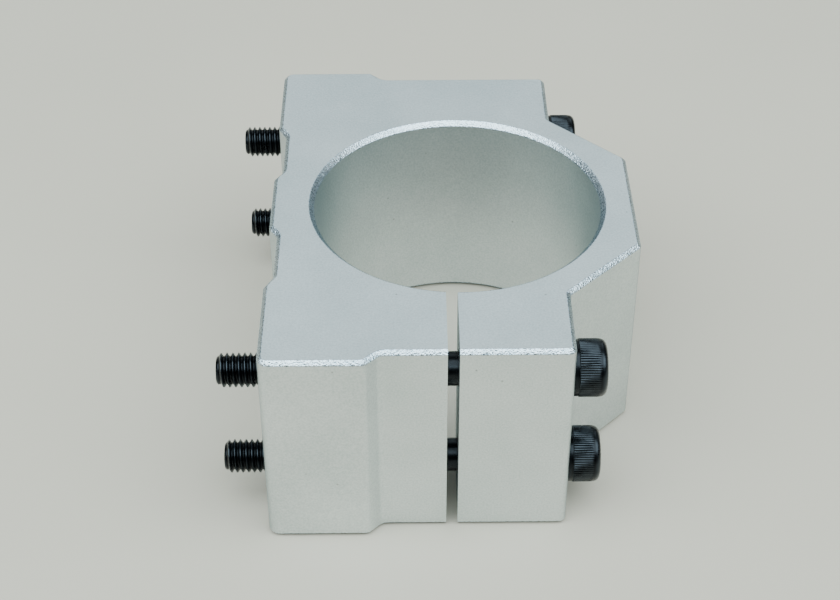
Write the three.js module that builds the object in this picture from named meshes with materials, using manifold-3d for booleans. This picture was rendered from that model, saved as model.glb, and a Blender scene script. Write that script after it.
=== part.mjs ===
// Split spindle clamp: a milled aluminium block with a bored ring, slit through one ear, and four M6 x 60
// socket head cap screws that clamp the ring and fasten the block to a machine plate.
//
// Millimetres. Origin at the centre of the mounting face. +X runs from the face towards the bore,
// +Y along the face, away from the slit, and +Z along the bore axis.
//
// The real block is one piece whose ring wall bends when the clamp is tightened. Here it is two solids,
// base and jaw, parted by a narrow gap across the ring wall where it bends most.

import * as THREE from 'three';
import { mergeVertices } from 'three/addons/utils/BufferGeometryUtils.js';
import Module from 'manifold-3d';

// Block
const HEIGHT = 40;
const BASE_HALF_WIDTH = 45;
const EAR_HALF_WIDTH = 42.5;
const MOUNT_TO_BORE = 33.7;
const STEP_X = 17.5;
const EAR_FACE_X = 52.2;
const EDGE_CHAMFER = 0.7;

// Bore and ring wall
const BORE_RADIUS = 26;
const BORE_CHAMFER = 0.9;
const FRONT_WALL = 6;
const SLANT_WALL = 6.3;
const BORE_FACETS = 96;

// Mounting face: a middle pad and two outer pads with a notch between each pair
const NOTCH_DEPTH = 1.5;
const NOTCH_FROM = 7.7;
const NOTCH_FLOOR_FROM = 10;
const NOTCH_FLOOR_TO = 21.8;
const NOTCH_TO = 24.6;

// Corner radii of the outline, seen along the bore
const BLOCK_CORNER = 2;
const EAR_CORNER = 1.3;
const SMALL_CORNER = 1.2;
const STEP_FILLET = 2.2;
const EAR_FILLET = 1;

// Saw slit through the ear at -Y, and the parting gap across the ring wall
const SLIT_WIDTH = 2;
const SLIT_OFFSET = -1.6;
const FLEX_ANGLE = Math.PI / 4;
const FLEX_GAP = 0.3;

// Screws: M6 x 60, socket head
const SCREW_RADIUS = 3;
const SCREW_LENGTH = 60;
const TIP_CHAMFER = 0.6;
const HEAD_RADIUS = 5;
const HEAD_HEIGHT = 5.8;
const HEAD_ROUND = 0.8;
const SOCKET_ACROSS_FLATS = 5;
const SOCKET_DEPTH = 3;
const SCREW_Y = 35;
const SCREW_Z = 10;
const HEAD_GAP = 0.1;
const HOLE_RADIUS = 3.3;
const SCREW_FACETS = 32;

// How far cutting solids reach past what they cut
const OVERCUT = 5;

const wasm = await Module();
wasm.setup();

function toSolid(geometry) {
  const bare = geometry.index ? geometry.toNonIndexed() : geometry.clone();
  bare.deleteAttribute('normal');
  bare.deleteAttribute('uv');
  const merged = mergeVertices(bare, 1e-5);
  return new wasm.Manifold(new wasm.Mesh({
    numProp: 3,
    vertProperties: new Float32Array(merged.attributes.position.array),
    triVerts: new Uint32Array(merged.index.array),
  }));
}

function toGeometry(solid) {
  const mesh = solid.getMesh();
  const geometry = new THREE.BufferGeometry();
  geometry.setAttribute('position', new THREE.BufferAttribute(new Float32Array(mesh.vertProperties), 3));
  geometry.setIndex(new THREE.BufferAttribute(new Uint32Array(mesh.triVerts), 1));
  geometry.computeVertexNormals();
  return geometry;
}

// A closed shape from corners [x, y, radius], listed anticlockwise, each rounded by an arc.
function roundedShape(corners) {
  const shape = new THREE.Shape();
  const count = corners.length;
  for (let i = 0; i < count; i += 1) {
    const [x, y, radius] = corners[i];
    const corner = new THREE.Vector2(x, y);
    const before = new THREE.Vector2(...corners[(i + count - 1) % count]).sub(corner).normalize();
    const after = new THREE.Vector2(...corners[(i + 1) % count]).sub(corner).normalize();
    const half = Math.acos(before.dot(after)) / 2;
    const reach = radius / Math.tan(half);
    const centre = before.clone().add(after).normalize().multiplyScalar(radius / Math.sin(half)).add(corner);
    const start = before.multiplyScalar(reach).add(corner).sub(centre);
    const end = after.multiplyScalar(reach).add(corner).sub(centre);
    const clockwise = start.cross(end) < 0;
    shape.absarc(centre.x, centre.y, radius, start.angle(), end.angle(), clockwise);
  }
  shape.closePath();
  return shape;
}

function blockOutline() {
  // Each slanted wall lies on a 45 degree line, x + y = slant, measured from the bore's axis.
  const slant = (BORE_RADIUS + SLANT_WALL) * Math.SQRT2;
  const octagonX = MOUNT_TO_BORE + BORE_RADIUS + FRONT_WALL;
  const octagonHalfSide = slant - (BORE_RADIUS + FRONT_WALL);
  const earInnerY = slant - (EAR_FACE_X - MOUNT_TO_BORE);
  const stepWidth = BASE_HALF_WIDTH - EAR_HALF_WIDTH;
  const upperHalf = [
    [octagonX, octagonHalfSide, SMALL_CORNER],
    [EAR_FACE_X, earInnerY, EAR_FILLET],
    [EAR_FACE_X, EAR_HALF_WIDTH, EAR_CORNER],
    [STEP_X + stepWidth, EAR_HALF_WIDTH, STEP_FILLET],
    [STEP_X, BASE_HALF_WIDTH, SMALL_CORNER],
    [0, BASE_HALF_WIDTH, BLOCK_CORNER],
    [0, NOTCH_TO, SMALL_CORNER],
    [NOTCH_DEPTH, NOTCH_FLOOR_TO, SMALL_CORNER],
    [NOTCH_DEPTH, NOTCH_FLOOR_FROM, SMALL_CORNER],
    [0, NOTCH_FROM, SMALL_CORNER],
  ];
  const lowerHalf = upperHalf.map(([x, y, radius]) => [x, -y, radius]).reverse();
  return roundedShape([...upperHalf, ...lowerHalf]);
}

// The outline pulled to full height, with both end faces' edges chamfered.
function block() {
  const geometry = new THREE.ExtrudeGeometry(blockOutline(), {
    depth: HEIGHT - 2 * EDGE_CHAMFER,
    curveSegments: 3,
    bevelEnabled: true,
    bevelThickness: EDGE_CHAMFER,
    bevelSize: EDGE_CHAMFER,
    bevelOffset: -EDGE_CHAMFER,
    bevelSegments: 1,
  });
  geometry.translate(0, 0, EDGE_CHAMFER - HEIGHT / 2);
  return toSolid(geometry);
}

// The bore's air, wider at both ends where its edges are chamfered.
function boreCut() {
  const top = HEIGHT / 2;
  const flare = BORE_RADIUS + BORE_CHAMFER + OVERCUT;
  const profile = [
    [0, -top - OVERCUT],
    [flare, -top - OVERCUT],
    [BORE_RADIUS, -top + BORE_CHAMFER],
    [BORE_RADIUS, top - BORE_CHAMFER],
    [flare, top + OVERCUT],
    [0, top + OVERCUT],
  ].map(([radius, z]) => new THREE.Vector2(radius, z));
  const geometry = new THREE.LatheGeometry(profile, BORE_FACETS);
  geometry.rotateX(Math.PI / 2);
  geometry.translate(MOUNT_TO_BORE, 0, 0);
  return toSolid(geometry);
}

function slitCut() {
  const reach = BASE_HALF_WIDTH + OVERCUT;
  const geometry = new THREE.BoxGeometry(SLIT_WIDTH, reach, HEIGHT + OVERCUT);
  geometry.translate(MOUNT_TO_BORE + SLIT_OFFSET, -reach / 2, 0);
  return toSolid(geometry);
}

function flexCut() {
  const geometry = new THREE.BoxGeometry(3 * SLANT_WALL, FLEX_GAP, HEIGHT + OVERCUT);
  geometry.translate(BORE_RADIUS + SLANT_WALL / 2, 0, 0);
  geometry.rotateZ(FLEX_ANGLE);
  geometry.translate(MOUNT_TO_BORE, 0, 0);
  return toSolid(geometry);
}

// One clearance hole, right through an ear and the base.
function screwHole(y, z) {
  const length = EAR_FACE_X + 2 * OVERCUT;
  const geometry = new THREE.CylinderGeometry(HOLE_RADIUS, HOLE_RADIUS, length, SCREW_FACETS);
  geometry.rotateZ(Math.PI / 2);
  geometry.translate(length / 2 - OVERCUT, y, z);
  return toSolid(geometry);
}

// The space on the jaw's side of the slit and of the parting gap. Its edges run through open air.
function jawSide() {
  const far = 2 * BASE_HALF_WIDTH;
  const shape = new THREE.Shape([
    new THREE.Vector2(SLIT_OFFSET, -far),
    new THREE.Vector2(far, -far),
    new THREE.Vector2(far, far * Math.tan(FLEX_ANGLE)),
    new THREE.Vector2(0, 0),
    new THREE.Vector2(SLIT_OFFSET, 0),
  ]);
  const geometry = new THREE.ExtrudeGeometry(shape, { depth: HEIGHT + 2 * OVERCUT, bevelEnabled: false });
  geometry.translate(MOUNT_TO_BORE, 0, -HEIGHT / 2 - OVERCUT);
  return toSolid(geometry);
}

// A screw along +X, with the underside of its head at x = 0.
function screwGeometry() {
  const neck = SCREW_RADIUS - TIP_CHAMFER;
  const profile = [
    [0, -SCREW_LENGTH],
    [neck, -SCREW_LENGTH],
    [SCREW_RADIUS, -SCREW_LENGTH + TIP_CHAMFER],
    [SCREW_RADIUS, 0],
    [HEAD_RADIUS, 0],
    [HEAD_RADIUS, HEAD_HEIGHT - HEAD_ROUND],
    [HEAD_RADIUS - HEAD_ROUND * (1 - Math.SQRT1_2), HEAD_HEIGHT - HEAD_ROUND * (1 - Math.SQRT1_2)],
    [HEAD_RADIUS - HEAD_ROUND, HEAD_HEIGHT],
    [0, HEAD_HEIGHT],
  ].map(([radius, x]) => new THREE.Vector2(radius, x));
  const turned = new THREE.LatheGeometry(profile, SCREW_FACETS);
  const socketRadius = SOCKET_ACROSS_FLATS / 2 / Math.cos(Math.PI / 6);
  const socket = new THREE.CylinderGeometry(socketRadius, socketRadius, 2 * SOCKET_DEPTH, 6);
  socket.translate(0, HEAD_HEIGHT, 0);
  const geometry = toGeometry(toSolid(turned).subtract(toSolid(socket)));
  geometry.rotateZ(-Math.PI / 2);
  return geometry;
}

const aluminium = new THREE.MeshStandardMaterial({ color: 0xb2bec0, roughness: 0.45, metalness: 0.9 });
const blackSteel = new THREE.MeshStandardMaterial({ color: 0x15181b, roughness: 0.35, metalness: 0.8 });

const clamp = new THREE.Group();

let body = block().subtract(boreCut()).subtract(slitCut()).subtract(flexCut());
for (const y of [-SCREW_Y, SCREW_Y]) {
  for (const z of [-SCREW_Z, SCREW_Z]) {
    body = body.subtract(screwHole(y, z));
  }
}

const base = new THREE.Mesh(toGeometry(body.subtract(jawSide())), aluminium);
base.name = 'clamp_base';
clamp.add(base);

const jaw = new THREE.Mesh(toGeometry(body.intersect(jawSide())), aluminium);
jaw.name = 'clamp_jaw';
clamp.add(jaw);

const screws = [
  { name: 'clamp_screw_upper', y: -SCREW_Y, z: SCREW_Z },
  { name: 'clamp_screw_lower', y: -SCREW_Y, z: -SCREW_Z },
  { name: 'fixing_screw_upper', y: SCREW_Y, z: SCREW_Z },
  { name: 'fixing_screw_lower', y: SCREW_Y, z: -SCREW_Z },
];
for (const { name, y, z } of screws) {
  const screw = new THREE.Mesh(screwGeometry(), blackSteel);
  screw.name = name;
  screw.position.set(EAR_FACE_X + HEAD_GAP, y, z);
  clamp.add(screw);
}

export default clamp;
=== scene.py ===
import math

import bmesh
import bpy
from mathutils import Matrix, Vector


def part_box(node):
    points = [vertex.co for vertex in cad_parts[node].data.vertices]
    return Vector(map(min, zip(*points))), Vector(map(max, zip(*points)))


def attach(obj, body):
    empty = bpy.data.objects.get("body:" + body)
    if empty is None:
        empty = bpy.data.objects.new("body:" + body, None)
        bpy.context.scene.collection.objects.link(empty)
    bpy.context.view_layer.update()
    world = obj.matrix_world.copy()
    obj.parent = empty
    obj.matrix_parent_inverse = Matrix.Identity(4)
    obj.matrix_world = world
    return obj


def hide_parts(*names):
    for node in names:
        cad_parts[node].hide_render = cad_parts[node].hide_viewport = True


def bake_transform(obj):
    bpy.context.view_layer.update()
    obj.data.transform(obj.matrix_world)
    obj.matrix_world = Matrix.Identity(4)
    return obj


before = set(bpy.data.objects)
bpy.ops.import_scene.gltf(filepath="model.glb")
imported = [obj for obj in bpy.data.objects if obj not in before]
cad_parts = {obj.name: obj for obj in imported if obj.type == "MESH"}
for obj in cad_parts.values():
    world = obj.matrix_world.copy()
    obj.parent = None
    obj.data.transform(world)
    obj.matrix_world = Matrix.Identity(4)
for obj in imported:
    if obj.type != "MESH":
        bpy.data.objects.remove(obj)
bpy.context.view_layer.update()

# ---------------------------------------------------------------------------
# Clamp block. One piece of aluminium, milled all over, bored, slit through one ear and chamfered along its
# edges, then bead blasted and clear anodised. It is made as two meshes that meet without a gap beside the far
# ear, because the jaw's ring wall bends when the clamp is tightened.

MM = 0.001
base_low, base_high = (Vector(corner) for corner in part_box("clamp_base"))
jaw_low, jaw_high = (Vector(corner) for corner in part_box("clamp_jaw"))

HALF_HEIGHT = base_high.z
BASE_HALF_WIDTH = base_high.y
EAR_HALF_WIDTH = -jaw_low.y
MOUNTING_FACE_X = base_low.x
FRONT_X = jaw_high.x
SLIT_WIDTH = 2 * MM
SLIT_JAW_X = jaw_low.x
SLIT_BASE_X = SLIT_JAW_X - SLIT_WIDTH

BORE_RADIUS = 26 * MM
FRONT_WALL = 6 * MM
SLANT_WALL = 6.3 * MM
BORE_X = FRONT_X - FRONT_WALL - BORE_RADIUS
EAR_FACE_X = BORE_X + 18.5 * MM
STEP_X = BORE_X - 16.2 * MM

NOTCH_DEPTH = 1.5 * MM
NOTCH_FROM = 7.7 * MM
NOTCH_FLOOR_FROM = 10 * MM
NOTCH_FLOOR_TO = 21.8 * MM
NOTCH_TO = 24.6 * MM

BLOCK_CORNER = 2 * MM
EAR_CORNER = 1.3 * MM
SMALL_CORNER = 1.2 * MM
STEP_FILLET = 2.2 * MM
EAR_FILLET = 1 * MM

EDGE_CHAMFER = 0.7 * MM
BORE_CHAMFER = 0.9 * MM
# blasting takes the sharpness off both edges of a chamfer
SOFTENED = 0.1 * MM
# material slots of the block
BLASTED, CHAMFERED, DRILLED = range(3)
# where the two meshes meet, as an angle round the bore from +X
SEAM_ANGLE = math.radians(53.5)
FLEX_ANGLE = math.radians(45)
BORE_STEP = math.radians(1.25)
CORNER_STEP = math.radians(5)


def rounded(corners):
    """Points along corners (x, y, radius), each with a radius rounded by an arc."""
    points = []
    for i, (x, y, radius) in enumerate(corners):
        corner = Vector((x, y))
        if radius == 0:
            points.append(corner)
            continue
        before = (Vector(corners[i - 1][:2]) - corner).normalized()
        after = (Vector(corners[i + 1][:2]) - corner).normalized()
        half = before.angle(after) / 2
        centre = corner + (before + after).normalized() * radius / math.sin(half)
        start = corner + before * radius / math.tan(half) - centre
        end = corner + after * radius / math.tan(half) - centre
        turn = math.atan2(start.cross(end), start.dot(end))
        steps = math.ceil(abs(turn) / CORNER_STEP)
        points += [centre + Matrix.Rotation(turn * k / steps, 2) @ start for k in range(steps + 1)]
    return points


def bore_points(start, end):
    """Points round the bore from one angle to another."""
    steps = math.ceil(abs(end - start) / BORE_STEP)
    angles = [start + (end - start) * k / steps for k in range(steps + 1)]
    return [Vector((BORE_X + BORE_RADIUS * math.cos(a), BORE_RADIUS * math.sin(a))) for a in angles]


def mitre(before, here, after, trim_before, trim_after):
    """How far a corner moves when the trimmed sides of the outline beside it move in by 1."""
    into_before = (here - before).normalized().orthogonal()
    into_after = (after - here).normalized().orthogonal()
    area = into_before.cross(into_after)
    if abs(area) < 1e-4:
        return into_before
    x = (trim_before * into_after.y - trim_after * into_before.y) / area
    y = (trim_after * into_before.x - trim_before * into_after.x) / area
    return Vector((x, y))


def chamfer_levels(width):
    """(inset, drop) from the end face down over one chamfer, with both its edges softened."""
    soft = SOFTENED * math.sqrt(0.5)
    return [(width + SOFTENED, 0), (width - soft, soft), (soft, width - soft), (0, width + SOFTENED)]


def block_mesh(name, outside, bore):
    """A mesh of full height, from the points of its chamfered outside and of its chamfered bore. The sides that
    join the ends of the two have no chamfer."""
    points = outside + bore
    count = len(points)
    plain = (len(outside) - 1, count - 1)
    mesh = bmesh.new()
    rings = [[None] * count for _ in range(8)]
    for i, point in enumerate(points):
        inward = mitre(
            points[i - 1], point, points[(i + 1) % count], (i - 1) % count not in plain, i not in plain
        )
        levels = chamfer_levels(EDGE_CHAMFER if i < len(outside) else BORE_CHAMFER)
        for k, (inset, drop) in enumerate(levels):
            x, y = point + inward * inset
            rings[k][i] = mesh.verts.new((x, y, HALF_HEIGHT - drop))
            rings[7 - k][i] = mesh.verts.new((x, y, drop - HALF_HEIGHT))
    mesh.faces.new(rings[0])
    mesh.faces.new(rings[7][::-1])
    for i in range(count):
        j = (i + 1) % count
        if i in plain:
            mesh.faces.new([ring[j] for ring in rings[::-1]] + [ring[i] for ring in rings])
            continue
        for k in range(7):
            face = mesh.faces.new((rings[k + 1][i], rings[k + 1][j], rings[k][j], rings[k][i]))
            face.material_index = BLASTED if k == 3 else CHAMFERED
    data = bpy.data.meshes.new(name)
    mesh.to_mesh(data)
    mesh.free()
    return data


slant = (BORE_RADIUS + SLANT_WALL) * math.sqrt(2)
ear_inner_y = slant - (EAR_FACE_X - BORE_X)
octagon_y = slant - (FRONT_X - BORE_X)
step_width = BASE_HALF_WIDTH - EAR_HALF_WIDTH
seam_reach = (BORE_RADIUS + SLANT_WALL) / math.cos(SEAM_ANGLE - FLEX_ANGLE)
seam = (BORE_X + seam_reach * math.cos(SEAM_ANGLE), seam_reach * math.sin(SEAM_ANGLE), 0)

# the mounting face's side of the block, from its far corner to its near one
far_side = [
    (STEP_X + step_width, EAR_HALF_WIDTH, STEP_FILLET),
    (STEP_X, BASE_HALF_WIDTH, SMALL_CORNER),
    (MOUNTING_FACE_X, BASE_HALF_WIDTH, BLOCK_CORNER),
    (MOUNTING_FACE_X, NOTCH_TO, SMALL_CORNER),
    (MOUNTING_FACE_X + NOTCH_DEPTH, NOTCH_FLOOR_TO, SMALL_CORNER),
    (MOUNTING_FACE_X + NOTCH_DEPTH, NOTCH_FLOOR_FROM, SMALL_CORNER),
    (MOUNTING_FACE_X, NOTCH_FROM, SMALL_CORNER),
]
near_side = [(x, -y, radius) for x, y, radius in far_side[::-1]]
base_outside = rounded(
    [seam, (EAR_FACE_X, ear_inner_y, EAR_FILLET), (EAR_FACE_X, EAR_HALF_WIDTH, EAR_CORNER)]
    + far_side
    + near_side
    + [(SLIT_BASE_X, -EAR_HALF_WIDTH, 0)]
)
jaw_outside = rounded([
    (SLIT_JAW_X, -EAR_HALF_WIDTH, 0),
    (EAR_FACE_X, -EAR_HALF_WIDTH, EAR_CORNER),
    (EAR_FACE_X, -ear_inner_y, EAR_FILLET),
    (FRONT_X, -octagon_y, SMALL_CORNER),
    (FRONT_X, octagon_y, SMALL_CORNER),
    seam,
])
base_slit_angle = -math.acos((SLIT_BASE_X - BORE_X) / BORE_RADIUS)
jaw_slit_angle = -math.acos((SLIT_JAW_X - BORE_X) / BORE_RADIUS)
base_bore = bore_points(base_slit_angle, SEAM_ANGLE - 2 * math.pi)
jaw_bore = bore_points(SEAM_ANGLE, jaw_slit_angle)

SCREW_Y = 35 * MM
SCREW_Z = 10 * MM
HOLE_RADIUS = 3.3 * MM
DEBURR = 0.3 * MM
HOLE_STEPS = 64
OVERCUT = 2 * MM


def drill_mesh(name):
    """Four drills that cut the screw holes through the block, flared where they enter and leave it."""
    flare = HOLE_RADIUS + DEBURR
    profile = [
        (MOUNTING_FACE_X - OVERCUT, flare + OVERCUT),
        (MOUNTING_FACE_X + DEBURR, HOLE_RADIUS),
        (EAR_FACE_X - DEBURR, HOLE_RADIUS),
        (EAR_FACE_X + OVERCUT, flare + OVERCUT),
    ]
    turns = [2 * math.pi * k / HOLE_STEPS for k in range(HOLE_STEPS)]
    mesh = bmesh.new()
    for y, z in ((SCREW_Y, SCREW_Z), (SCREW_Y, -SCREW_Z), (-SCREW_Y, SCREW_Z), (-SCREW_Y, -SCREW_Z)):
        rings = [
            [mesh.verts.new((x, y + radius * math.cos(a), z + radius * math.sin(a))) for a in turns]
            for x, radius in profile
        ]
        mesh.faces.new(rings[0][::-1])
        mesh.faces.new(rings[-1])
        for ring, following in zip(rings, rings[1:]):
            for k in range(HOLE_STEPS):
                mesh.faces.new((ring[k - 1], ring[k], following[k], following[k - 1]))
    for face in mesh.faces:
        face.material_index = DRILLED
    data = bpy.data.meshes.new(name)
    mesh.to_mesh(data)
    mesh.free()
    return data


def linear(colour):
    """An sRGB hex colour as the linear RGBA that a shader takes."""
    channels = [int(colour[i : i + 2], 16) / 255 for i in (1, 3, 5)]
    return [c / 12.92 if c <= 0.04045 else ((c + 0.055) / 1.055) ** 2.4 for c in channels] + [1]


def add_node(tree, kind, inputs=None, **settings):
    """Add a node with its settings. Each input is set to a value, or linked to a node or to one of its outputs."""
    node = tree.nodes.new(kind)
    for name, value in settings.items():
        setattr(node, name, value)
    sockets = {socket.identifier: socket for socket in node.inputs}
    for name, value in (inputs or {}).items():
        if isinstance(value, bpy.types.Node):
            value = next(socket for socket in value.outputs if socket.enabled)
        if isinstance(value, bpy.types.NodeSocket):
            tree.links.new(value, sockets[name])
        else:
            sockets[name].default_value = value
    return node


# the anodised film's shade drifts a little over about this distance
CLOUD_SIZE = 14 * MM
NICK_SPACING = 7 * MM
NICK_SIZE = 0.28 * MM
NICK_COLOUR = "#6E7575"


def anodised_aluminium(name, shades, edge_tint, roughness, dent_size, dent_depth):
    """Clear anodised aluminium: a metal seen through a thin clear oxide film, greyer and softer than bare metal."""
    material = bpy.data.materials.new(name)
    material.use_nodes = True
    tree = material.node_tree
    tree.nodes.clear()
    place = add_node(tree, "ShaderNodeTexCoord").outputs["Object"]
    cloud = add_node(tree, "ShaderNodeTexNoise", {"Vector": place, "Scale": 1 / CLOUD_SIZE, "Detail": 3})
    dents = add_node(tree, "ShaderNodeTexNoise", {"Vector": place, "Scale": 1 / dent_size, "Detail": 1})
    grain = add_node(tree, "ShaderNodeMix", {"Factor_Float": 0.6, "A_Float": cloud, "B_Float": dents})
    shade = add_node(
        tree,
        "ShaderNodeMix",
        {"Factor_Float": grain, "A_Color": linear(shades[0]), "B_Color": linear(shades[1])},
        data_type="RGBA",
    )
    # handling leaves a few small dark nicks
    nicks = add_node(tree, "ShaderNodeTexVoronoi", {"Vector": place, "Scale": 1 / NICK_SPACING})
    nick = add_node(
        tree,
        "ShaderNodeMapRange",
        {"Value": nicks, "From Max": NICK_SIZE / NICK_SPACING, "To Min": 0.7, "To Max": 0},
    )
    shade = add_node(
        tree,
        "ShaderNodeMix",
        {"Factor_Float": nick, "A_Color": shade, "B_Color": linear(NICK_COLOUR)},
        data_type="RGBA",
    )
    sheen = add_node(
        tree, "ShaderNodeMapRange", {"Value": dents, "To Min": roughness - 0.06, "To Max": roughness + 0.06}
    )
    bump = add_node(tree, "ShaderNodeBump", {"Height": dents, "Distance": dent_depth})
    surface = add_node(
        tree,
        "ShaderNodeBsdfPrincipled",
        {
            "Base Color": shade,
            "Metallic": 1,
            "Specular Tint": linear(edge_tint),
            "Roughness": sheen,
            "Normal": bump,
        },
    )
    add_node(tree, "ShaderNodeOutputMaterial", {"Surface": surface})
    return material


# Blasting with glass beads leaves dents of about a tenth of a millimetre, drawn a little coarser so that the
# grain shows, and a blasted face looks greyer when it is seen along the surface. The chamfers get a shinier,
# grainier copy of the finish, and its bluer shades and lighter edge tint are painted highlight, the blue-white
# glints of the softbox they face. The holes keep the drill's own finish.
block_materials = [
    anodised_aluminium(
        "bead_blasted_anodised_aluminium", ("#ADBDBF", "#FCFFFF"), "#C8D0D0", 0.35, 0.34 * MM, 0.05 * MM
    ),
    # painted highlight: bluer shades and a lighter edge tint than the blasted faces, for the softbox's blue-white
    # glints
    anodised_aluminium(
        "chamfered_aluminium_painted_highlight", ("#86AFC3", "#FFFFFF"), "#EEF6FA", 0.28, 0.28 * MM, 0.14 * MM
    ),
    anodised_aluminium(
        "drilled_anodised_aluminium", ("#CAD6D8", "#DEE8EA"), "#D4DCDC", 0.36, 0.5 * MM, 0.04 * MM
    ),
]

SHARP = math.radians(30)


def finished_block(name, outside, bore):
    """One of the block's two meshes, drilled, as an object."""
    block = bpy.data.objects.new(name, block_mesh(name, outside, bore))
    drills = bpy.data.objects.new("drills", drill_mesh("drills"))
    for piece in (block, drills):
        bpy.context.scene.collection.objects.link(piece)
        for material in block_materials:
            piece.data.materials.append(material)
    cut = block.modifiers.new("screw holes", "BOOLEAN")
    cut.object = drills
    cut.solver = "EXACT"
    cut.material_mode = "INDEX"
    smooth = block.modifiers.new("flat faces", "WEIGHTED_NORMAL")
    smooth.keep_sharp = True
    block.data.shade_smooth()
    block.data.set_sharp_from_angle(angle=SHARP)
    drilled = bpy.data.meshes.new_from_object(block.evaluated_get(bpy.context.evaluated_depsgraph_get()))
    block.modifiers.clear()
    block.data = drilled
    bpy.data.objects.remove(drills)
    return block


clamp_base = finished_block("clamp_base_block", base_outside, base_bore)
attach(clamp_base, "base")
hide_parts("clamp_base")

clamp_jaw = finished_block("clamp_jaw_block", jaw_outside, jaw_bore)
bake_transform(clamp_jaw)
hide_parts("clamp_jaw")

# ---------------------------------------------------------------------------
# Socket head cap screws, M6 x 60. Cold headed and thread rolled from alloy steel, then blackened and oiled. The
# two on the slit side pull the jaw in, and the two on the far side fix the clamp to its machine.

PITCH = 1 * MM
MAJOR_RADIUS = 2.95 * MM
ROOT_RADIUS = 2.387 * MM
TIP_RADIUS = 2.2 * MM
SCREW_LENGTH = 60 * MM
THREAD_LENGTH = 24 * MM
RUN_OUT = 1.5 * MM
# one turn of a 60 degree thread: how far along the pitch, and how high from root to crest
THREAD_FORM = ((0.03, 0.06), (0.125, 0), (0.22, 0.06), (0.5625, 1), (0.6875, 1))

HEAD_HEIGHT = 5.8 * MM
BAND_RADIUS = 4.85 * MM
KNURL_RADIUS = 4.98 * MM
KNURL_FROM = 0.95 * MM
KNURL_TO = 4.35 * MM
KNURL_DEPTH = 0.1 * MM
KNURL_RIDGES = 72
CROWN_ROUND = 1.15 * MM
UNDERHEAD_ROUND = 0.25 * MM
SOCKET_FLAT = 2.5 * MM
SOCKET_MOUTH = 3 * MM
SOCKET_DEPTH = 3 * MM
DRILL_RADIUS = 2.35 * MM
SCREW_FACETS = 216


def screw_profile():
    """Half of the screw's outline, from the middle of its tip to the bottom of its socket. Each row is how far it
    is from under the head, its radius, and how much it is threaded, knurled, hexagonal and rubbed bright."""
    rows = [(-SCREW_LENGTH, 0, 0, 0, 0, 0), (-SCREW_LENGTH, TIP_RADIUS, 0, 0, 0, 0)]
    # the thread begins a turn early, because its first turn is cut away by the tip
    for turn in range(-1, round(THREAD_LENGTH / PITCH)):
        for along, height in THREAD_FORM:
            x = (turn + along) * PITCH - SCREW_LENGTH
            rows.append((x, ROOT_RADIUS + height * (MAJOR_RADIUS - ROOT_RADIUS), 1, 0, 0, height))
    rows += [
        (THREAD_LENGTH - SCREW_LENGTH, MAJOR_RADIUS, 0, 0, 0, 0),
        (-2 * UNDERHEAD_ROUND, MAJOR_RADIUS, 0, 0, 0, 0),
        (-UNDERHEAD_ROUND, MAJOR_RADIUS, 0, 0, 0, 0),
        (-0.3 * UNDERHEAD_ROUND, MAJOR_RADIUS + 0.3 * UNDERHEAD_ROUND, 0, 0, 0, 0),
        (0, MAJOR_RADIUS + UNDERHEAD_ROUND, 0, 0, 0, 0),
        (0, BAND_RADIUS - 0.25 * MM, 0, 0, 0, 0),
        (0.1 * MM, BAND_RADIUS - 0.07 * MM, 0, 0, 0, 0.6),
        (0.3 * MM, BAND_RADIUS, 0, 0, 0, 0.3),
        (KNURL_FROM, BAND_RADIUS, 0, 0, 0, 0),
        (KNURL_FROM + 0.15 * MM, KNURL_RADIUS, 0, 1, 0, 1),
        (KNURL_TO - 0.2 * MM, KNURL_RADIUS, 0, 1, 0, 1),
    ]
    crown_radius = KNURL_RADIUS - 0.05 * MM
    for k in range(9):
        angle = math.radians(90 * k / 8)
        x = HEAD_HEIGHT - CROWN_ROUND * (1 - math.sin(angle))
        rows.append((x, crown_radius - CROWN_ROUND * (1 - math.cos(angle)), 0, 0, 0, math.sin(2 * angle)))
    mouth_depth = (SOCKET_MOUTH - SOCKET_FLAT) * math.tan(math.radians(30))
    rows += [
        (HEAD_HEIGHT, SOCKET_MOUTH, 0, 0, 0, 0.6),
        (HEAD_HEIGHT - mouth_depth, SOCKET_FLAT, 0, 0, 1, 0.4),
        (HEAD_HEIGHT - SOCKET_DEPTH, SOCKET_FLAT, 0, 0, 1, 0),
        (HEAD_HEIGHT - SOCKET_DEPTH, DRILL_RADIUS, 0, 0, 0, 0),
        (HEAD_HEIGHT - SOCKET_DEPTH - DRILL_RADIUS * math.tan(math.radians(30)), 0, 0, 0, 0, 0),
    ]
    mesh = bpy.data.meshes.new("screw_profile")
    mesh.from_pydata([(row[0], row[1], 0) for row in rows], [(k, k + 1) for k in range(len(rows) - 1)], [])
    for place, name in enumerate(("threaded", "knurled", "hexagonal", "rubbed"), start=2):
        attribute = mesh.attributes.new(name, "FLOAT", "POINT")
        attribute.data.foreach_set("value", [row[place] for row in rows])
    return mesh


screw_sizes = {
    "Facets": SCREW_FACETS,
    "Ridges": KNURL_RIDGES,
    "Ridge Depth": KNURL_DEPTH,
    "Pitch": PITCH,
    "Thread Start": -SCREW_LENGTH,
    "Thread End": THREAD_LENGTH - SCREW_LENGTH,
    "Run-out": RUN_OUT,
    "Tip Radius": TIP_RADIUS,
    "Root Radius": ROOT_RADIUS,
    "Shank Radius": MAJOR_RADIUS,
}


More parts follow.
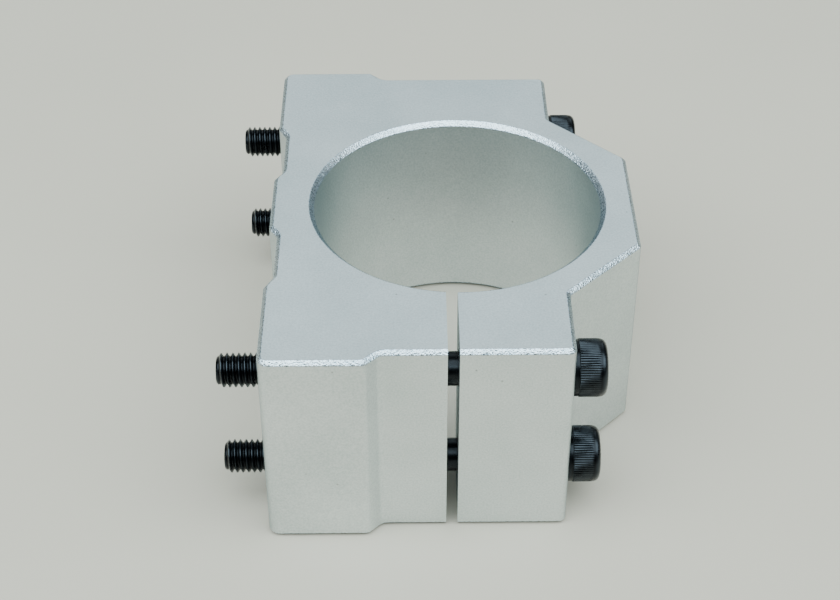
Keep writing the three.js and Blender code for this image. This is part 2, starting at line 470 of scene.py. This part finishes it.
def screw_tree():
    """Turns a profile into a closed screw: knurled round the head, helical along the thread, hexagonal inside."""
    tree = bpy.data.node_groups.new("turned_screw", "GeometryNodeTree")
    tree.interface.new_socket("Profile", in_out="INPUT", socket_type="NodeSocketGeometry")
    for name, size in screw_sizes.items():
        kind = "NodeSocketInt" if isinstance(size, int) else "NodeSocketFloat"
        tree.interface.new_socket(name, in_out="INPUT", socket_type=kind)
    tree.interface.new_socket("Material", in_out="INPUT", socket_type="NodeSocketMaterial")
    tree.interface.new_socket("Screw", in_out="OUTPUT", socket_type="NodeSocketGeometry")
    given = add_node(tree, "NodeGroupInput").outputs
    profile = given["Profile"]

    # a grid with a column of the profile's rows for each facet, closed by one more column over the first
    rows = add_node(
        tree, "GeometryNodeAttributeDomainSize", {"Geometry": profile}, component="MESH"
    ).outputs["Point Count"]
    columns = add_node(tree, "ShaderNodeMath", {"Value": given["Facets"], "Value_001": 1}, operation="ADD")
    grid = add_node(tree, "GeometryNodeMeshGrid", {"Vertices X": columns, "Vertices Y": rows})
    index = add_node(tree, "GeometryNodeInputIndex")
    row = add_node(tree, "ShaderNodeMath", {"Value": index, "Value_001": rows}, operation="MODULO")
    share = add_node(tree, "ShaderNodeMath", {"Value": index, "Value_001": rows}, operation="DIVIDE")
    column = add_node(tree, "ShaderNodeMath", {"Value": share}, operation="FLOOR")
    turn = add_node(tree, "ShaderNodeMath", {"Value": column, "Value_001": given["Facets"]}, operation="DIVIDE")
    angle = add_node(tree, "ShaderNodeMath", {"Value": turn, "Value_001": 2 * math.pi}, operation="MULTIPLY")

    place = add_node(
        tree,
        "GeometryNodeSampleIndex",
        {"Geometry": profile, "Value": add_node(tree, "GeometryNodeInputPosition"), "Index": row},
        data_type="FLOAT_VECTOR",
    )
    place = add_node(tree, "ShaderNodeSeparateXYZ", {"Vector": place})
    x, radius = place.outputs["X"], place.outputs["Y"]
    marks = {}
    for name in ("threaded", "knurled", "hexagonal", "rubbed"):
        mark = add_node(tree, "GeometryNodeInputNamedAttribute", {"Name": name}, data_type="FLOAT")
        marks[name] = add_node(
            tree, "GeometryNodeSampleIndex", {"Geometry": profile, "Value": mark, "Index": row}, data_type="FLOAT"
        )

    # the thread moves along by its pitch in each turn, and stays between its start and its end
    climb = add_node(tree, "ShaderNodeMath", {"Value": turn, "Value_001": given["Pitch"]}, operation="MULTIPLY")
    climbed = add_node(tree, "ShaderNodeMath", {"Value": x, "Value_001": climb}, operation="ADD")
    kept = add_node(
        tree,
        "ShaderNodeClamp",
        {"Value": climbed, "Min": given["Thread Start"], "Max": given["Thread End"]},
    )
    # it runs out into the shank, and a 45 degree chamfer cuts its tip
    last = add_node(
        tree,
        "ShaderNodeMath",
        {"Value": given["Thread End"], "Value_001": given["Run-out"]},
        operation="SUBTRACT",
    )
    floor = add_node(
        tree,
        "ShaderNodeMapRange",
        {
            "Value": kept,
            "From Min": last,
            "From Max": given["Thread End"],
            "To Min": given["Root Radius"],
            "To Max": given["Shank Radius"],
        },
    )
    filled = add_node(tree, "ShaderNodeMath", {"Value": radius, "Value_001": floor}, operation="MAXIMUM")
    from_tip = add_node(
        tree, "ShaderNodeMath", {"Value": kept, "Value_001": given["Thread Start"]}, operation="SUBTRACT"
    )
    cone = add_node(
        tree, "ShaderNodeMath", {"Value": from_tip, "Value_001": given["Tip Radius"]}, operation="ADD"
    )
    cut = add_node(tree, "ShaderNodeMath", {"Value": filled, "Value_001": cone}, operation="MINIMUM")
    x = add_node(tree, "ShaderNodeMix", {"Factor_Float": marks["threaded"], "A_Float": x, "B_Float": kept})
    radius = add_node(
        tree, "ShaderNodeMix", {"Factor_Float": marks["threaded"], "A_Float": radius, "B_Float": cut}
    )

    # straight knurling: V grooves between ridges with flat tops a third as wide as their spacing
    ridge = add_node(tree, "ShaderNodeMath", {"Value": turn, "Value_001": given["Ridges"]}, operation="MULTIPLY")
    groove = add_node(tree, "ShaderNodeMath", {"Value": ridge, "Value_001": 0.5}, operation="PINGPONG")
    groove = add_node(
        tree, "ShaderNodeMapRange", {"Value": groove, "From Max": 1 / 3, "To Min": 1, "To Max": 0}
    )
    groove = add_node(
        tree, "ShaderNodeMath", {"Value": groove, "Value_001": marks["knurled"]}, operation="MULTIPLY"
    )
    depth = add_node(
        tree, "ShaderNodeMath", {"Value": groove, "Value_001": given["Ridge Depth"]}, operation="MULTIPLY"
    )
    radius = add_node(tree, "ShaderNodeMath", {"Value": radius, "Value_001": depth}, operation="SUBTRACT")

    # a hexagon's wall is further out the more it turns away from the middle of a flat
    sixth = math.radians(30)
    corner = add_node(tree, "ShaderNodeMath", {"Value": angle, "Value_001": sixth}, operation="PINGPONG")
    flat = add_node(tree, "ShaderNodeMath", {"Value": sixth, "Value_001": corner}, operation="SUBTRACT")
    flat = add_node(
        tree, "ShaderNodeMath", {"Value": flat, "Value_001": marks["hexagonal"]}, operation="MULTIPLY"
    )
    flat = add_node(tree, "ShaderNodeMath", {"Value": flat}, operation="COSINE")
    radius = add_node(tree, "ShaderNodeMath", {"Value": radius, "Value_001": flat}, operation="DIVIDE")

    cosine = add_node(tree, "ShaderNodeMath", {"Value": angle}, operation="COSINE")
    sine = add_node(tree, "ShaderNodeMath", {"Value": angle}, operation="SINE")
    y = add_node(tree, "ShaderNodeMath", {"Value": radius, "Value_001": cosine}, operation="MULTIPLY")
    z = add_node(tree, "ShaderNodeMath", {"Value": radius, "Value_001": sine}, operation="MULTIPLY")
    point = add_node(tree, "ShaderNodeCombineXYZ", {"X": x, "Y": y, "Z": z})
    shaped = add_node(tree, "GeometryNodeSetPosition", {"Geometry": grid, "Position": point})
    # only the tops of the ridges rub bright
    top = add_node(tree, "ShaderNodeMath", {"Value": 1, "Value_001": groove}, operation="SUBTRACT")
    bright = add_node(
        tree, "ShaderNodeMath", {"Value": top, "Value_001": marks["rubbed"]}, operation="MULTIPLY"
    )
    shaped = add_node(
        tree,
        "GeometryNodeStoreNamedAttribute",
        {"Geometry": shaped, "Name": "rubbed", "Value": bright},
        data_type="FLOAT",
        domain="POINT",
    )
    closed = add_node(tree, "GeometryNodeMergeByDistance", {"Geometry": shaped, "Distance": 0.001 * MM})
    smooth = add_node(tree, "GeometryNodeSetShadeSmooth", {"Geometry": closed})
    real = add_node(tree, "GeometryNodeRealizeInstances", {"Geometry": smooth})
    painted = add_node(tree, "GeometryNodeSetMaterial", {"Geometry": real, "Material": given["Material"]})
    output = add_node(tree, "NodeGroupOutput")
    tree.links.new(painted.outputs["Geometry"], output.inputs["Screw"])
    return tree


def black_oxide_steel():
    """Rolled steel under a black oxide film that holds oil: near black, with a dull sheen and a thin wet gloss,
    and greyer where handling has rubbed the film."""
    material = bpy.data.materials.new("oiled_black_oxide_steel")
    material.use_nodes = True
    tree = material.node_tree
    tree.nodes.clear()
    place = add_node(tree, "ShaderNodeTexCoord").outputs["Object"]
    smears = add_node(tree, "ShaderNodeTexNoise", {"Vector": place, "Scale": 1 / (1.5 * MM), "Detail": 4})
    pores = add_node(tree, "ShaderNodeTexNoise", {"Vector": place, "Scale": 1 / (0.15 * MM), "Detail": 1})
    rubbed = add_node(tree, "ShaderNodeAttribute", attribute_name="rubbed").outputs["Fac"]
    film = add_node(
        tree,
        "ShaderNodeMix",
        {"Factor_Float": smears, "A_Color": linear("#0C0F12"), "B_Color": linear("#181C20")},
        data_type="RGBA",
    )
    patchy = add_node(tree, "ShaderNodeMath", {"Value": rubbed, "Value_001": smears}, operation="MULTIPLY")
    colour = add_node(
        tree,
        "ShaderNodeMix",
        {"Factor_Float": patchy, "A_Color": film, "B_Color": linear("#3E454B")},
        data_type="RGBA",
    )
    sheen = add_node(tree, "ShaderNodeMapRange", {"Value": smears, "To Min": 0.2, "To Max": 0.38})
    bump = add_node(tree, "ShaderNodeBump", {"Height": pores, "Distance": 0.01 * MM})
    surface = add_node(
        tree,
        "ShaderNodeBsdfPrincipled",
        {
            "Base Color": colour,
            "Metallic": 1,
            "Roughness": sheen,
            "Normal": bump,
            "Coat Weight": 0.2,
            "Coat Roughness": 0.25,
        },
    )
    add_node(tree, "ShaderNodeOutputMaterial", {"Surface": surface})
    return material


pattern = bpy.data.objects.new("screw_pattern", screw_profile())
bpy.context.scene.collection.objects.link(pattern)
turning = pattern.modifiers.new("turned", "NODES")
turning.node_group = screw_tree()
sockets = {socket.name: socket.identifier for socket in turning.node_group.interface.items_tree}
for name, size in screw_sizes.items():
    turning[sockets[name]] = size
turning[sockets["Material"]] = black_oxide_steel()
screw_mesh = bpy.data.meshes.new_from_object(pattern.evaluated_get(bpy.context.evaluated_depsgraph_get()))
pattern.modifiers.clear()
bpy.data.objects.remove(pattern)
screw_mesh.set_sharp_from_angle(angle=SHARP)

# each screw stopped at its own angle when it was driven in
screws = {
    "clamp_screw_upper": ("upper_clamp_screw", 17),
    "clamp_screw_lower": ("lower_clamp_screw", 41),
    "fixing_screw_upper": ("upper_fixing_screw", 8),
    "fixing_screw_lower": ("lower_fixing_screw", 29),
}
for node, (body, stopped_at) in screws.items():
    low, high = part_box(node)
    middle = (low + high) / 2
    screw = bpy.data.objects.new(node + "_m6", screw_mesh.copy())
    bpy.context.scene.collection.objects.link(screw)
    under_head = Matrix.Translation((high.x - HEAD_HEIGHT, middle.y, middle.z))
    screw.data.transform(under_head @ Matrix.Rotation(math.radians(stopped_at), 4, "X"))
    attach(screw, body)
    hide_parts(node)

# ---------------------------------------------------------------------------
# Floor. A plain pale bench top under the clamp, which stands on its lower end face.

FLOOR_SIZE = 4


def bench_top():
    """Painted board: matt, pale and warm, a touch uneven."""
    material = bpy.data.materials.new("matt_painted_board")
    material.use_nodes = True
    tree = material.node_tree
    tree.nodes.clear()
    place = add_node(tree, "ShaderNodeTexCoord").outputs["Object"]
    cloud = add_node(tree, "ShaderNodeTexNoise", {"Vector": place, "Scale": 1 / (60 * MM), "Detail": 2})
    shade = add_node(
        tree,
        "ShaderNodeMix",
        {"Factor_Float": cloud, "A_Color": linear("#BBB1A1"), "B_Color": linear("#C1B7A7")},
        data_type="RGBA",
    )
    surface = add_node(tree, "ShaderNodeBsdfPrincipled", {"Base Color": shade, "Roughness": 0.7})
    add_node(tree, "ShaderNodeOutputMaterial", {"Surface": surface})
    return material


floor_data = bpy.data.meshes.new("floor")
half = FLOOR_SIZE / 2
edges = [(-half, -half), (half, -half), (half, half), (-half, half)]
floor_data.from_pydata([(x, y, -HALF_HEIGHT) for x, y in edges], [], [(0, 1, 2, 3)])
floor_data.materials.append(bench_top())
floor = bpy.data.objects.new("floor", floor_data)
bpy.context.scene.collection.objects.link(floor)

# ---------------------------------------------------------------------------
# Light. A big cool-white softbox hangs overhead and in front, in a pale room.

ROOM_COLOUR = "#B4BABA"
ROOM_STRENGTH = 0.22
WALL_STRENGTH = 1.2

# name, distance, compass direction from +Y, height, width, depth, power
SOFTBOXES = (
    ("overhead_softbox", 1.2, 180, 70, 4.2, 1.2, 90),
    ("rear_softbox", 1.6, 0, 40, 2.0, 1.0, 9),
)


def add_softbox(name, distance, direction, height, width, depth, power):
    """A flat panel of light that faces the clamp from a direction and a height, both in degrees."""
    data = bpy.data.lights.new(name, "AREA")
    data.shape = "RECTANGLE"
    data.size = width
    data.size_y = depth
    data.energy = power
    data.color = linear("#E2F4FA")[:3]
    softbox = bpy.data.objects.new(name, data)
    bpy.context.scene.collection.objects.link(softbox)
    aim = Matrix.Rotation(math.radians(-direction), 4, "Z") @ Matrix.Rotation(math.radians(height), 4, "X")
    softbox.matrix_world = (
        aim @ Matrix.Translation((0, distance, 0)) @ Matrix.Rotation(math.radians(-90), 4, "X")
    )


for softbox in SOFTBOXES:
    add_softbox(*softbox)

room = bpy.data.worlds.new("room")
room.use_nodes = True
room.node_tree.nodes.clear()
# the walls look brighter than the light they send back
seen = add_node(room.node_tree, "ShaderNodeLightPath").outputs["Is Camera Ray"]
strength = add_node(
    room.node_tree, "ShaderNodeMix", {"Factor_Float": seen, "A_Float": ROOM_STRENGTH, "B_Float": WALL_STRENGTH}
)
glow = add_node(room.node_tree, "ShaderNodeBackground", {"Color": linear(ROOM_COLOUR), "Strength": strength})
add_node(room.node_tree, "ShaderNodeOutputWorld", {"Surface": glow})
bpy.context.scene.world = room

# ---------------------------------------------------------------------------
# Camera. It looks down on the slit side, almost square to it, through a short telephoto lens.

CAMERA_PLACE = Vector((25.13, -253.7, 199.36)) * MM
LOOKS_DOWN = math.radians(38.588)
TURNED_RIGHT = math.radians(0.396)
TILTED = math.radians(0.144)

camera_data = bpy.data.cameras.new("camera")
camera_data.sensor_width = 36
camera_data.lens = 73.26
camera_data.clip_start = 0.01
camera = bpy.data.objects.new("camera", camera_data)
bpy.context.scene.collection.objects.link(camera)
camera.matrix_world = (
    Matrix.Translation(CAMERA_PLACE)
    @ Matrix.Rotation(-TURNED_RIGHT, 4, "Z")
    @ Matrix.Rotation(math.pi / 2 - LOOKS_DOWN, 4, "X")
    @ Matrix.Rotation(-TILTED, 4, "Z")
)
bpy.context.scene.camera = camera
